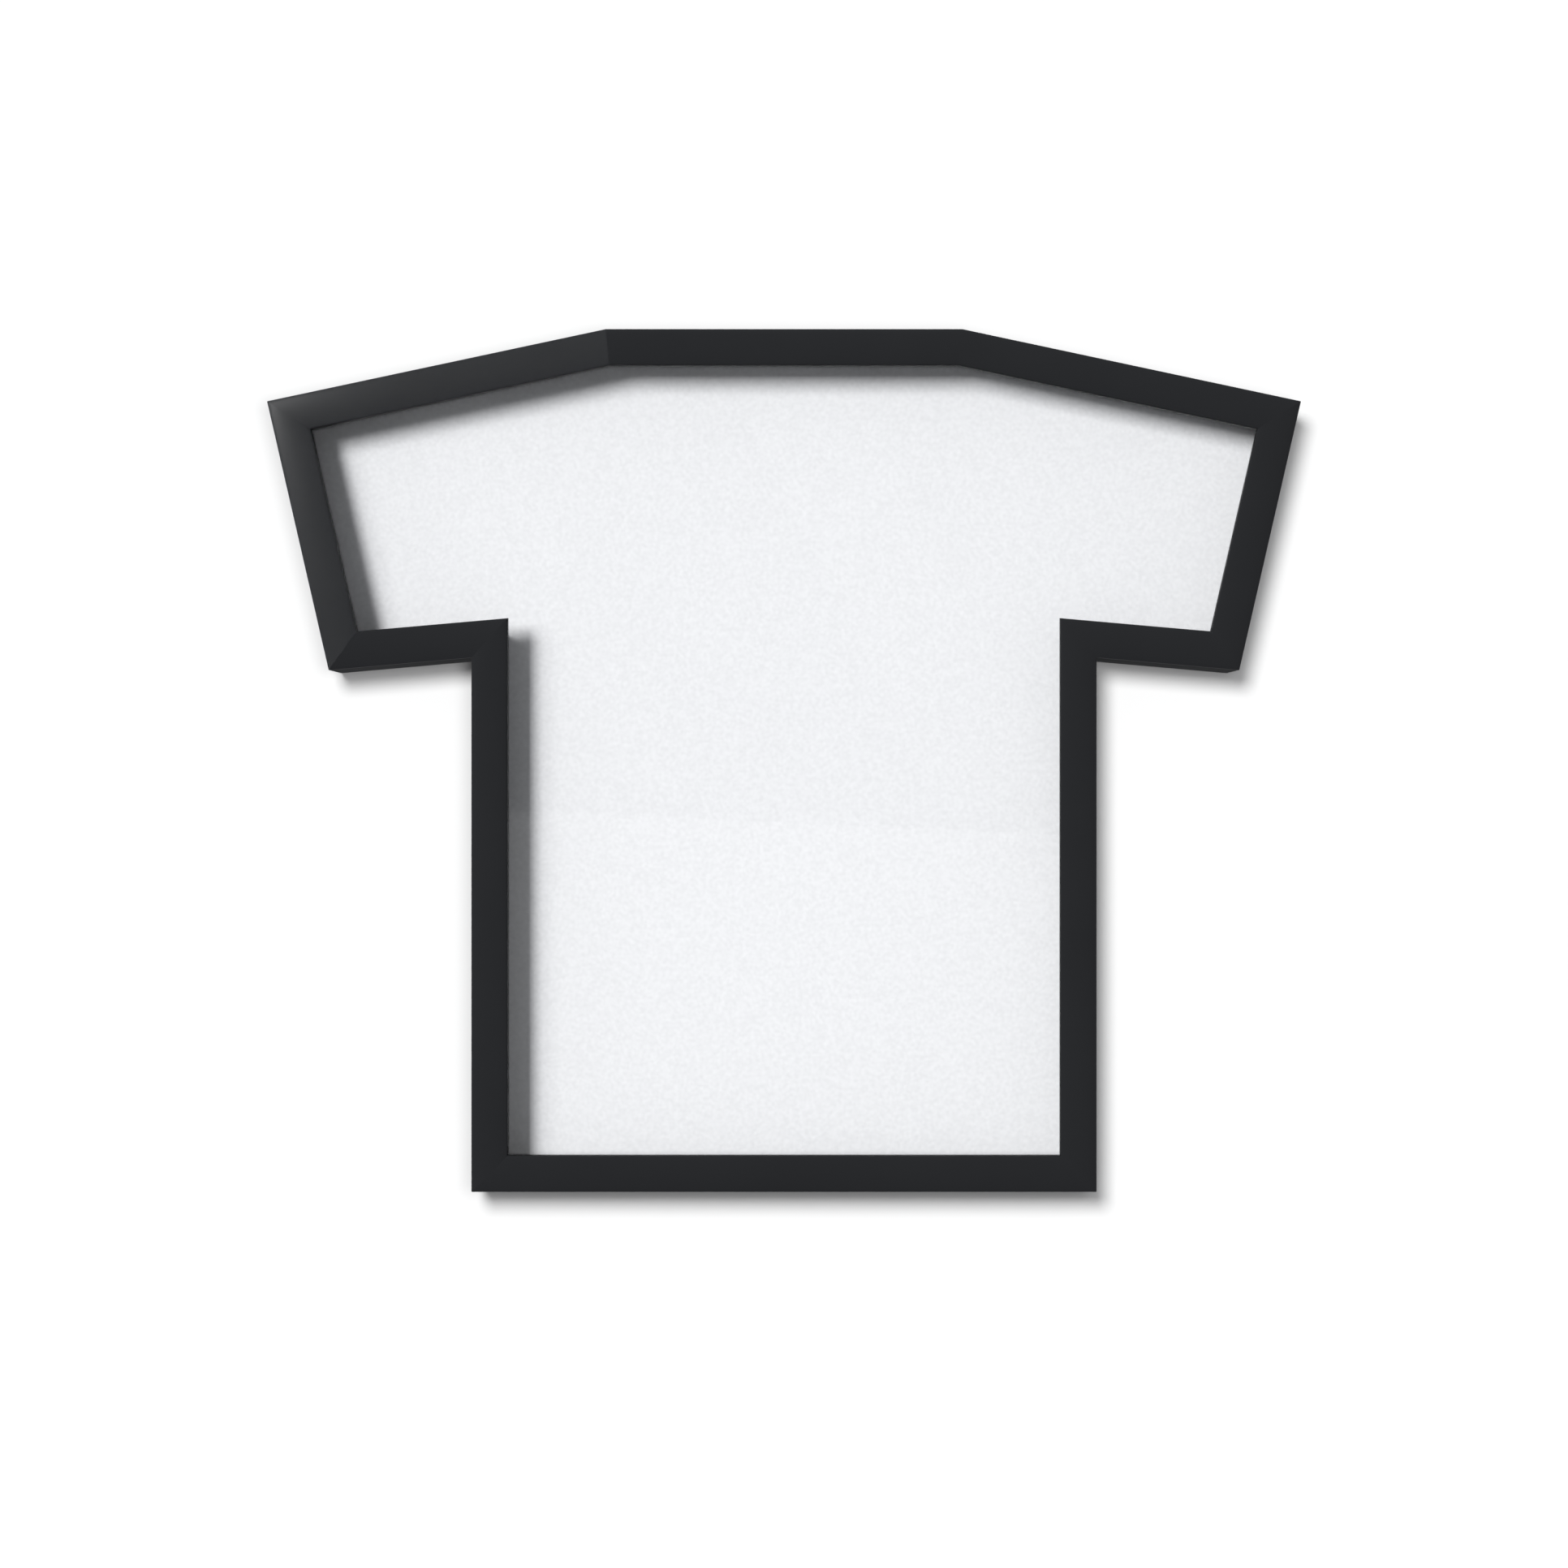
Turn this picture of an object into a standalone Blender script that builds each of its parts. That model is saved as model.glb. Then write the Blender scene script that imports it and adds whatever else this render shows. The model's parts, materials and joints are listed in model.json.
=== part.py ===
"""Wall-hung display frame in the outline of a short-sleeved shirt.

Ten mitred rails stand round a clear front panel, a ring of spacer strips, a white
board that carries the shirt, and a backing board. Turn buttons on the back keep the
boards in, two sawtooth hangers carry the frame, and four pads keep it off the wall.

Axes: +X to the right seen from the front, +Y into the wall, +Z up. The origin is the
hanging point: on the wall plane, midway between the hangers, at the height of their
teeth. Outline points are given as (across, up), with up measured from the bottom edge.
"""

import math

import bmesh
import bpy
from mathutils import Vector

MM = 0.001

# Play left between two pieces that touch or slide on each other
GAP = 0.3 * MM

# Outer outline: half widths from the middle, heights above the bottom edge
HEIGHT = 610.0 * MM
NECK_HALF = 126.1 * MM
SHOULDER_TIP = (365.5 * MM, 559.0 * MM)
CUFF_CORNER = (321.9 * MM, 368.75 * MM)
ARMPIT = (221.0 * MM, 377.6 * MM)

# Rail section: a wall behind a lip that laps over the clear panel
RAIL_WIDTH = 25.8 * MM
RAIL_DEPTH = 38.0 * MM
WALL = 13.0 * MM
LIP = 5.0 * MM
CROWN = 1.2 * MM
ARRIS = 0.6 * MM
CROWN_STEPS = 6

# Stack between the lip and the back of the rails, front to back
PANEL_THICK = 2.0 * MM
BOARD_THICK = 5.0 * MM
BACKING_THICK = 3.0 * MM
BOARD_PLAY = 0.8 * MM
SPACER_WIDTH = 5.5 * MM

# Wedge-shaped steel nails that hold the mitres, driven in from the back
NAIL_WING = 4.5 * MM
NAIL_THICK = 0.6 * MM
NAIL_HEIGHT = 10.0 * MM
NAIL_SUNK = 0.5 * MM

# Turn buttons and their screws
BUTTON_REACH = 17.0 * MM
BUTTON_BIG = 6.0 * MM
BUTTON_SMALL = 4.2 * MM
BUTTON_THICK = 1.2 * MM
BUTTON_STEPS = 20
SCREW_SHANK = 1.3 * MM
SCREW_HEAD = 3.3 * MM
SCREW_HEAD_HEIGHT = 1.5 * MM
SCREW_BITE = 12.0 * MM
ROUND_STEPS = 12

# Sawtooth hangers and their nails
HANGER_LENGTH = 44.0 * MM
HANGER_HEIGHT = 9.5 * MM
HANGER_THICK = 0.9 * MM
HANGER_RISE = 1.6 * MM
HANGER_TAB = 10.0 * MM
HANGER_RAMP = 2.5 * MM
HANGER_SPREAD = 75.0 * MM
TOOTH_COUNT = 9
TOOTH_DEPTH = 1.6 * MM
TACK_SHANK = 0.7 * MM
TACK_HEAD = 1.8 * MM
TACK_HEAD_HEIGHT = 0.7 * MM
TACK_BITE = 9.0 * MM

# Soft pads that stand between the frame and the wall
PAD_RADIUS = 5.0 * MM
PAD_HEIGHT = 3.7 * MM
PAD_STEPS = 24

# Depths, measured along +Y with the wall at zero
REAR = -(PAD_HEIGHT + GAP)
FRONT = REAR - RAIL_DEPTH
PANEL_FRONT = FRONT + LIP + GAP
SPACER_FRONT = PANEL_FRONT + PANEL_THICK + GAP
BACKING_FRONT = REAR - BACKING_THICK
BOARD_FRONT = BACKING_FRONT - GAP - BOARD_THICK
SPACER_REAR = BOARD_FRONT - GAP

# Line along each rail on which the fixings sit, inwards from the outer edge
WALL_LINE = WALL / 2

# Height of the hanging point above the bottom edge: the roots of the hangers' teeth
HANG_HEIGHT = HEIGHT - WALL_LINE - HANGER_HEIGHT / 2 + TOOTH_DEPTH

# Where the fixings sit along their rails, as a share of each rail's length
BUTTON_PLACES = {
    "shoulder_right": ("right_shoulder", 0.30),
    "cuff_right": ("right_cuff", 0.50),
    "side_right": ("right_side", 0.50),
    "hem_right": ("bottom", 0.25),
    "hem_left": ("bottom", 0.75),
    "side_left": ("left_side", 0.50),
    "cuff_left": ("left_cuff", 0.50),
    "shoulder_left": ("left_shoulder", 0.70),
}
PAD_PLACES = {
    "shoulder_right": ("right_shoulder", 0.85),
    "hem_right": ("bottom", 0.06),
    "hem_left": ("bottom", 0.94),
    "shoulder_left": ("left_shoulder", 0.15),
}

# Rails in clockwise order from the neck, seen from the front, and the corner where each starts
RAIL_NAMES = (
    "top",
    "right_shoulder",
    "right_cuff",
    "right_underarm",
    "right_side",
    "bottom",
    "left_side",
    "left_underarm",
    "left_cuff",
    "left_shoulder",
)
CORNER_NAMES = (
    "neck_left",
    "neck_right",
    "shoulder_right",
    "cuff_right",
    "armpit_right",
    "hem_right",
    "hem_left",
    "armpit_left",
    "cuff_left",
    "shoulder_left",
)

# Finishes: colour, roughness, metallic
FINISHES = {
    "black_lacquer": ((0.022, 0.023, 0.025), 0.38, 0.0),
    "clear_plastic": ((0.95, 0.97, 0.98), 0.05, 0.0),
    "white_board": ((0.86, 0.87, 0.89), 0.70, 0.0),
    "black_strip": ((0.012, 0.012, 0.013), 0.60, 0.0),
    "hardboard": ((0.23, 0.13, 0.07), 0.75, 0.0),
    "zinc_steel": ((0.62, 0.63, 0.64), 0.35, 1.0),
    "black_steel": ((0.03, 0.03, 0.032), 0.45, 0.6),
    "clear_rubber": ((0.10, 0.10, 0.11), 0.55, 0.0),
}


def clear_scene():
    for obj in list(bpy.data.objects):
        bpy.data.objects.remove(obj, do_unlink=True)


def finish_material(name):
    """Return the Principled material of one finish, made on first use."""
    found = bpy.data.materials.get(name)
    if found:
        return found
    colour, roughness, metallic = FINISHES[name]
    material = bpy.data.materials.new(name)
    material.use_nodes = True
    shader = material.node_tree.nodes["Principled BSDF"]
    shader.inputs["Base Color"].default_value = (*colour, 1.0)
    shader.inputs["Roughness"].default_value = roughness
    shader.inputs["Metallic"].default_value = metallic
    if name == "clear_plastic":
        shader.inputs["Transmission Weight"].default_value = 1.0
    return material


def add_object(name, mesh_data, finish, location=(0.0, 0.0, 0.0), turn=0.0):
    """Make an object from a bmesh, turned about Y and then placed."""
    bmesh.ops.recalc_face_normals(mesh_data, faces=mesh_data.faces)
    mesh = bpy.data.meshes.new(name)
    mesh_data.to_mesh(mesh)
    mesh_data.free()
    mesh.materials.append(finish_material(finish))
    obj = bpy.data.objects.new(name, mesh)
    obj.location = location
    obj.rotation_euler = (0.0, turn, 0.0)
    bpy.context.scene.collection.objects.link(obj)
    return obj


def smooth(obj, sharp_degrees=35.0):
    obj.data.shade_smooth()
    obj.data.set_sharp_from_angle(angle=math.radians(sharp_degrees))


def cut(obj, name, cutter_data):
    """Cut a hidden cutter's shape out of an object."""
    cutter = add_object(name, cutter_data, "black_steel")
    cutter.hide_render = True
    cutter.display_type = "WIRE"
    modifier = obj.modifiers.new("sockets", "BOOLEAN")
    modifier.operation = "DIFFERENCE"
    modifier.solver = "EXACT"
    modifier.object = cutter


# ---------------------------------------------------------------- outline


def outline_corners():
    """Outer corners, clockwise from the left end of the neck, as (across, up from the hem)."""
    right = [(NECK_HALF, HEIGHT), SHOULDER_TIP, CUFF_CORNER, ARMPIT, (ARMPIT[0], 0.0)]
    left = [(-across, up) for across, up in reversed(right)]
    return [Vector(point) for point in [left[-1], *right, *left[:-1]]]


CORNERS = outline_corners()


def rail_line(index):
    """Start, direction, inward normal and length of a rail's outer edge."""
    start = CORNERS[index]
    run = CORNERS[(index + 1) % len(CORNERS)] - start
    along = run.normalized()
    return start, along, Vector((along.y, -along.x)), run.length


def mitre_vector(index):
    """Step from an outer corner to the same corner of the outline inset by one unit."""
    before = rail_line(index - 1)[2]
    after = rail_line(index)[2]
    return (before + after) / (1.0 + before.dot(after))


def inset_outline(inset):
    return [corner + mitre_vector(i) * inset for i, corner in enumerate(CORNERS)]


def place(point, depth):
    """World position of an outline point at a depth."""
    return Vector((point.x, depth, point.y - HANG_HEIGHT))


def rail_turn(index):
    along = rail_line(index)[1]
    return math.atan2(-along.y, along.x)


def point_on_wall_line(rail_name, share):
    """Point on the middle of a rail's wall, and the rail's number."""
    index = RAIL_NAMES.index(rail_name)
    start, along, inward, length = rail_line(index)
    return start + along * length * share + inward * WALL_LINE, index


# ---------------------------------------------------------------- shapes


def extrude_all(mesh_data, move):
    """Extrude a bmesh's flat faces into a solid by a function that moves each new vertex."""
    made = bmesh.ops.extrude_face_region(mesh_data, geom=mesh_data.faces[:])
    for vertex in made["geom"]:
        if isinstance(vertex, bmesh.types.BMVert):
            move(vertex)


def prism(mesh_data, points, near, far):
    """Add a flat shape in the frame's plane, given as outline points, as a solid from near to far."""
    lower = [mesh_data.verts.new(place(point, near)) for point in points]
    upper = [mesh_data.verts.new(place(point, far)) for point in points]
    mesh_data.faces.new(lower)
    mesh_data.faces.new(reversed(upper))
    for i, vertex in enumerate(lower):
        j = (i + 1) % len(lower)
        mesh_data.faces.new((vertex, upper[i], upper[j], lower[j]))


def circle_points(centre, radius, steps):
    angles = [2.0 * math.pi * i / steps for i in range(steps)]
    return [centre + Vector((math.cos(a), math.sin(a))) * radius for a in angles]


def mitred_bar(index, profile):
    """Bar along one rail, with its section extruded from one mitre to the other.

    The profile lists (inwards from the outer edge, depth). In the bar's own frame X runs
    along the rail and -Z points inwards. Half the play is taken off each end.
    """
    along = rail_line(index)[1]
    length = rail_line(index)[3]
    first = mitre_vector(index)
    last = mitre_vector((index + 1) % len(CORNERS))
    first_play = GAP / 2 * first.length
    last_play = GAP / 2 * last.length
    mesh_data = bmesh.new()
    section = [
        mesh_data.verts.new((inset * first.dot(along) + first_play, depth, -inset))
        for inset, depth in profile
    ]
    mesh_data.faces.new(section)

    def to_far_mitre(vertex):
        inset = -vertex.co.z
        vertex.co.x = length + inset * last.dot(along) - last_play

    extrude_all(mesh_data, to_far_mitre)
    return mesh_data


def turned(profile):
    """Solid of revolution about Y from (radius, depth) points that start and end on the axis."""
    mesh_data = bmesh.new()
    points = [mesh_data.verts.new((radius, depth, 0.0)) for radius, depth in profile]
    edges = [mesh_data.edges.new(pair) for pair in zip(points, points[1:])]
    bmesh.ops.spin(
        mesh_data,
        geom=points + edges,
        cent=(0.0, 0.0, 0.0),
        axis=(0.0, 1.0, 0.0),
        angle=2.0 * math.pi,
        steps=ROUND_STEPS,
        use_merge=True,
    )
    bmesh.ops.remove_doubles(mesh_data, verts=mesh_data.verts, dist=1e-6)
    return mesh_data


# ---------------------------------------------------------------- rails


def rail_profile():
    """L section: crowned face, eased edges, lip, rebate and wall."""
    face = []
    for step in range(CROWN_STEPS + 1):
        inset = ARRIS + (RAIL_WIDTH - 2 * ARRIS) * step / CROWN_STEPS
        face.append((inset, CROWN * (2.0 * inset / RAIL_WIDTH - 1.0) ** 2))
    edge = CROWN + ARRIS
    rebate = [(RAIL_WIDTH, edge), (RAIL_WIDTH, LIP), (WALL, LIP), (WALL, RAIL_DEPTH)]
    section = [(0.0, edge), *face, *rebate, (0.0, RAIL_DEPTH)]
    return [(inset, FRONT + depth) for inset, depth in section]


def corner_nail_points(index, thickness, wing):
    """Plan of one V-shaped nail at a corner: its point faces outwards along the mitre."""
    mitre = mitre_vector(index)
    inward = mitre.normalized()
    across = Vector((-inward.y, inward.x))
    middle = CORNERS[index] + mitre * WALL_LINE - inward * NAIL_WING * 0.35
    half = thickness / 2 * math.sqrt(2.0)
    tip = wing * math.sqrt(0.5)
    end = thickness / 2 * math.sqrt(0.5)
    plan = [
        (-half, 0.0),
        (tip - end, tip + end),
        (tip + end, tip - end),
        (half, 0.0),
        (tip + end, end - tip),
        (tip - end, -tip - end),
    ]
    return [middle + inward * forward + across * side for forward, side in plan]


def rail_sockets(index):
    """Slots for the corner nails and holes for the screws and tacks in one rail."""
    sockets = bmesh.new()
    beyond = REAR + GAP
    slot_end = REAR - NAIL_SUNK - NAIL_HEIGHT - GAP
    for corner in (index, (index + 1) % len(CORNERS)):
        slot = corner_nail_points(corner, NAIL_THICK + 2 * GAP, NAIL_WING + GAP)
        prism(sockets, slot, slot_end, beyond)
    for rail_name, share in BUTTON_PLACES.values():
        centre, rail = point_on_wall_line(rail_name, share)
        if rail == index:
            hole = circle_points(centre, SCREW_SHANK + GAP, ROUND_STEPS)
            prism(sockets, hole, REAR - SCREW_BITE - GAP, beyond)
    if RAIL_NAMES[index] == "top":
        for centre in tack_points().values():
            hole = circle_points(centre, TACK_SHANK + GAP, ROUND_STEPS)
            prism(sockets, hole, REAR - TACK_BITE - GAP, beyond)
    return sockets


def make_rails():
    profile = rail_profile()
    for index, name in enumerate(RAIL_NAMES):
        rail = add_object(
            f"{name}_rail",
            mitred_bar(index, profile),
            "black_lacquer",
            place(CORNERS[index], 0.0),
            rail_turn(index),
        )
        cut(rail, f"{name}_sockets", rail_sockets(index))


def make_corner_nails():
    rear = REAR - NAIL_SUNK
    for index, name in enumerate(CORNER_NAMES):
        mesh_data = bmesh.new()
        points = corner_nail_points(index, NAIL_THICK, NAIL_WING)
        prism(mesh_data, points, rear - NAIL_HEIGHT, rear)
        add_object(f"corner_nail_{name}", mesh_data, "zinc_steel")


# ---------------------------------------------------------------- filling


def make_board(name, near, thickness, finish):
    """Flat board cut to the rebate."""
    mesh_data = bmesh.new()
    prism(mesh_data, inset_outline(WALL + BOARD_PLAY), near, near + thickness)
    return add_object(name, mesh_data, finish)


def make_spacers():
    near = WALL + GAP
    far = near + SPACER_WIDTH
    profile = [(near, SPACER_FRONT), (far, SPACER_FRONT), (far, SPACER_REAR), (near, SPACER_REAR)]
    for index, name in enumerate(RAIL_NAMES):
        add_object(
            f"{name}_spacer",
            mitred_bar(index, profile),
            "black_strip",
            place(CORNERS[index], 0.0),
            rail_turn(index),
        )


# ---------------------------------------------------------------- turn buttons


def button_mesh():
    """Teardrop plate with a hole at its wide end, pointing along -Z, lying in Y = 0 to its thickness."""
    tangent = math.acos((BUTTON_BIG - BUTTON_SMALL) / BUTTON_REACH)
    wide_steps = BUTTON_STEPS * 3 // 5
    narrow_steps = BUTTON_STEPS - wide_steps
    edge = []
    for step in range(wide_steps):
        angle = tangent + (2.0 * math.pi - 2.0 * tangent) * step / (wide_steps - 1)
        edge.append(Vector((math.cos(angle), math.sin(angle))) * BUTTON_BIG)
    for step in range(narrow_steps):
        angle = -tangent + 2.0 * tangent * step / (narrow_steps - 1)
        tip = Vector((math.cos(angle), math.sin(angle))) * BUTTON_SMALL
        edge.append(tip + Vector((BUTTON_REACH, 0.0)))
    hole = [point.normalized() * (SCREW_SHANK + GAP) for point in edge]
    mesh_data = bmesh.new()
    rings = [
        [mesh_data.verts.new((point.y, depth, -point.x)) for point in ring]
        for ring, depth in ((edge, 0.0), (edge, BUTTON_THICK), (hole, BUTTON_THICK), (hole, 0.0))
    ]
    for near, far in zip(rings, rings[1:] + rings[:1]):
        for i, vertex in enumerate(near):
            j = (i + 1) % len(near)
            mesh_data.faces.new((vertex, near[j], far[j], far[i]))
    return mesh_data


def screw_mesh():
    """Pan-head screw: the underside of its head at Y = 0, its point towards the front."""
    grip = GAP + BUTTON_THICK + GAP
    tip = grip + SCREW_BITE
    return turned(
        [
            (0.0, SCREW_HEAD_HEIGHT),
            (SCREW_HEAD * 0.62, SCREW_HEAD_HEIGHT * 0.92),
            (SCREW_HEAD * 0.92, SCREW_HEAD_HEIGHT * 0.60),
            (SCREW_HEAD, SCREW_HEAD_HEIGHT * 0.18),
            (SCREW_HEAD, 0.0),
            (SCREW_SHANK, 0.0),
            (SCREW_SHANK, -tip + 3.0 * SCREW_SHANK),
            (0.0, -tip),
        ]
    )


def make_turn_buttons():
    for name, (rail_name, share) in BUTTON_PLACES.items():
        centre, index = point_on_wall_line(rail_name, share)
        turn = rail_turn(index)
        button = add_object(
            f"turn_button_{name}", button_mesh(), "black_steel", place(centre, REAR + GAP), turn
        )
        smooth(button)
        head = REAR + GAP + BUTTON_THICK + GAP
        screw = add_object(f"button_screw_{name}", screw_mesh(), "zinc_steel", place(centre, head))
        smooth(screw)


# ---------------------------------------------------------------- hangers and pads


def tack_points():
    """Centres of the four tacks, two through the end tabs of each hanger."""
    offset = (HANGER_LENGTH - HANGER_TAB) / 2
    up = HEIGHT - WALL_LINE
    return {
        "left_outer": Vector((-HANGER_SPREAD - offset, up)),
        "left_inner": Vector((-HANGER_SPREAD + offset, up)),
        "right_inner": Vector((HANGER_SPREAD - offset, up)),
        "right_outer": Vector((HANGER_SPREAD + offset, up)),
    }


def hanger_mesh():
    """Toothed strip that stands off between its end tabs; X along it, Y towards the wall."""
    half = HANGER_LENGTH / 2
    tab = half - HANGER_TAB
    raised = tab - HANGER_RAMP
    low = -HANGER_HEIGHT / 2
    stations = [(-half, low, 0.0), (-tab, low, 0.0)]
    for step in range(2 * TOOTH_COUNT + 1):
        root = TOOTH_DEPTH if step % 2 else 0.0
        across = -raised + 2.0 * raised * step / (2 * TOOTH_COUNT)
        stations.append((across, low + root, HANGER_RISE))
    stations += [(tab, low, 0.0), (half, low, 0.0)]
    mesh_data = bmesh.new()
    high = HANGER_HEIGHT / 2
    sections = [
        [
            mesh_data.verts.new(corner)
            for corner in (
                (across, depth, bottom),
                (across, depth, high),
                (across, depth + HANGER_THICK, high),
                (across, depth + HANGER_THICK, bottom),
            )
        ]
        for across, bottom, depth in stations
    ]
    for near, far in zip(sections, sections[1:]):
        for i, vertex in enumerate(near):
            j = (i + 1) % len(near)
            mesh_data.faces.new((vertex, near[j], far[j], far[i]))
    mesh_data.faces.new(sections[0])
    mesh_data.faces.new(reversed(sections[-1]))
    return mesh_data


def tack_mesh():
    """Tack: the underside of its flat head at Y = 0, its point towards the front."""
    tip = GAP + HANGER_THICK + GAP + TACK_BITE
    return turned(
        [
            (0.0, TACK_HEAD_HEIGHT),
            (TACK_HEAD * 0.8, TACK_HEAD_HEIGHT),
            (TACK_HEAD, TACK_HEAD_HEIGHT * 0.4),
            (TACK_HEAD, 0.0),
            (TACK_SHANK, 0.0),
            (TACK_SHANK, -tip + 3.0 * TACK_SHANK),
            (0.0, -tip),
        ]
    )


def make_hangers():
    up = HEIGHT - WALL_LINE
    for side, across in (("left", -HANGER_SPREAD), ("right", HANGER_SPREAD)):
        hanger = add_object(
            f"sawtooth_hanger_{side}",
            hanger_mesh(),
            "zinc_steel",
            place(Vector((across, up)), REAR + GAP),
        )
        holes = bmesh.new()
        for name, centre in tack_points().items():
            if name.startswith(side):
                ring = circle_points(centre, TACK_SHANK + GAP, ROUND_STEPS)
                prism(holes, ring, REAR, REAR + 2 * HANGER_THICK)
        cut(hanger, f"hanger_holes_{side}", holes)
    for name, centre in tack_points().items():
        head = REAR + GAP + HANGER_THICK + GAP
        tack = add_object(f"hanger_tack_{name}", tack_mesh(), "zinc_steel", place(centre, head))
        smooth(tack)


def make_pads():
    """Round pads with an eased rim, standing on the wall plane."""
    for name, (rail_name, share) in PAD_PLACES.items():
        centre = point_on_wall_line(rail_name, share)[0]
        mesh_data = bmesh.new()
        bmesh.ops.create_cone(
            mesh_data,
            cap_ends=True,
            segments=PAD_STEPS,
            radius1=PAD_RADIUS,
            radius2=PAD_RADIUS * 0.8,
            depth=PAD_HEIGHT,
        )
        for vertex in mesh_data.verts:
            vertex.co = Vector((vertex.co.x, vertex.co.z, -vertex.co.y))
        pad = add_object(f"wall_pad_{name}", mesh_data, "clear_rubber", place(centre, -PAD_HEIGHT / 2))
        smooth(pad)


def main():
    clear_scene()
    make_rails()
    make_corner_nails()
    make_board("front_panel", PANEL_FRONT, PANEL_THICK, "clear_plastic")
    make_spacers()
    make_board("shirt_board", BOARD_FRONT, BOARD_THICK, "white_board")
    make_board("backing_board", BACKING_FRONT, BACKING_THICK, "hardboard")
    make_turn_buttons()
    make_hangers()
    make_pads()


main()
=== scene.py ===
"""Jersey display frame: the visible pieces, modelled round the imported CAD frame.

A black lacquered frame in the outline of a short-sleeved shirt, with a clear front
panel, a white board behind it, and the fixings on its back. Laid out as an add-on,
with one operator for each kind of piece and one for the stage, and run as a script.
"""

import json
import math
from contextlib import contextmanager

import bmesh
import bpy
from bpy.props import FloatProperty, FloatVectorProperty, IntProperty, PointerProperty
from mathutils import Matrix, Vector

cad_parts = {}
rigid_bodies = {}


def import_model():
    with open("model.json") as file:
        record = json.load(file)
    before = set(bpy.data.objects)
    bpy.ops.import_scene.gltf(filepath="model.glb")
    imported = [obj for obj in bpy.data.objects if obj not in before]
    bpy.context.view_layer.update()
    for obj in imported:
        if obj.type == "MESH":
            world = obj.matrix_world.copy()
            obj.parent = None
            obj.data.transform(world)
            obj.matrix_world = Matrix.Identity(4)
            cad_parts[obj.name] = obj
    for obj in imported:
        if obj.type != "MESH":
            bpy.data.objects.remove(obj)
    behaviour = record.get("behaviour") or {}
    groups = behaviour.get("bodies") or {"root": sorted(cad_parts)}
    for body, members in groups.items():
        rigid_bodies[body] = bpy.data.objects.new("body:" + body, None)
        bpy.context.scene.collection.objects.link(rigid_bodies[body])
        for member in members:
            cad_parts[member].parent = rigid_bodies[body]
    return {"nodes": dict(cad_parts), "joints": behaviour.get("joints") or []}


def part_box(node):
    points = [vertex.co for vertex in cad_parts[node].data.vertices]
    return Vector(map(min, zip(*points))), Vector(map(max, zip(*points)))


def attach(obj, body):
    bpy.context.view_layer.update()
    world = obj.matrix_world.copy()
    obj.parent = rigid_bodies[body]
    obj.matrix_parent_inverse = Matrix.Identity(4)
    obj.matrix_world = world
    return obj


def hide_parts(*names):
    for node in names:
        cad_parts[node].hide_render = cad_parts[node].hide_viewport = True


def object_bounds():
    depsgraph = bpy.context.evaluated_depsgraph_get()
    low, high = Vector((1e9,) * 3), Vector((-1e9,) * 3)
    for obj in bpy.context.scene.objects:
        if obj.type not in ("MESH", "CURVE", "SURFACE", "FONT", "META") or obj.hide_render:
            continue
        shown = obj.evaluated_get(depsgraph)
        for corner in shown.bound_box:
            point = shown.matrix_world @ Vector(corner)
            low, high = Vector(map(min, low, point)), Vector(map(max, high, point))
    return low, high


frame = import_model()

bl_info = {
    "name": "Jersey Display Frame",
    "version": (1, 0, 0),
    "blender": (4, 5, 0),
    "location": "View3D > Sidebar > Jersey Frame",
    "description": "Models the pieces of a shirt-shaped display frame round its CAD frame",
    "category": "Object",
}

MM = 0.001
# How far apart two places may lie and still count as one
NEAR = 0.01 * MM
MERGE = 0.001 * MM
CAD_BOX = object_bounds()
FIXED_BODY = "frame"
# The wall takes little of the room's light, so that its own lamps set how deep its shadows are
WALL_TONE = 0.4
SOFTBOX_DISTANCE = 30.0

# Rails clockwise from the neck, seen from the front
RAILS = (
    "top",
    "right_shoulder",
    "right_cuff",
    "right_underarm",
    "right_side",
    "bottom",
    "left_side",
    "left_underarm",
    "left_cuff",
    "left_shoulder",
)
# The corner at which each rail starts
CORNERS = (
    "neck_left",
    "neck_right",
    "shoulder_right",
    "cuff_right",
    "armpit_right",
    "hem_right",
    "hem_left",
    "armpit_left",
    "cuff_left",
    "shoulder_left",
)
BUTTONS = (
    "shoulder_right",
    "cuff_right",
    "side_right",
    "hem_right",
    "hem_left",
    "side_left",
    "cuff_left",
    "shoulder_left",
)
TACKS = ("left_outer", "left_inner", "right_inner", "right_outer")
PADS = ("shoulder_right", "hem_right", "hem_left", "shoulder_left")
SIDES = ("left", "right")


# ---------------------------------------------------------------- selecting and editing


def linear(hex_colour):
    """Turn an sRGB hex colour into linear RGBA."""
    channels = [int(hex_colour[i : i + 2], 16) / 255 for i in (1, 3, 5)]
    return tuple(c / 12.92 if c <= 0.04045 else ((c + 0.055) / 1.055) ** 2.4 for c in channels) + (1.0,)


def deselect_everything():
    for obj in bpy.context.view_layer.objects:
        obj.select_set(False)


def choose(obj):
    """Make one object the only selected and the active one."""
    deselect_everything()
    obj.select_set(True)
    bpy.context.view_layer.objects.active = obj


@contextmanager
def editing(obj):
    """Edit mode on one object, with every part of it shown and nothing left over."""
    choose(obj)
    bpy.ops.object.mode_set(mode="EDIT")
    yield
    bpy.ops.object.mode_set(mode="OBJECT")


def pick(obj, kind, test):
    """Select the faces, edges or vertices that pass a test, in edit mode."""
    bpy.ops.mesh.select_mode(type=kind)
    mesh_data = bmesh.from_edit_mesh(obj.data)
    parts = {"FACE": mesh_data.faces, "EDGE": mesh_data.edges, "VERT": mesh_data.verts}[kind]
    for part in parts:
        part.select_set(False)
    for part in parts:
        if test(part):
            part.select_set(True)
    if kind == "VERT":
        mesh_data.select_flush(True)
    bmesh.update_edit_mesh(obj.data)


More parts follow.
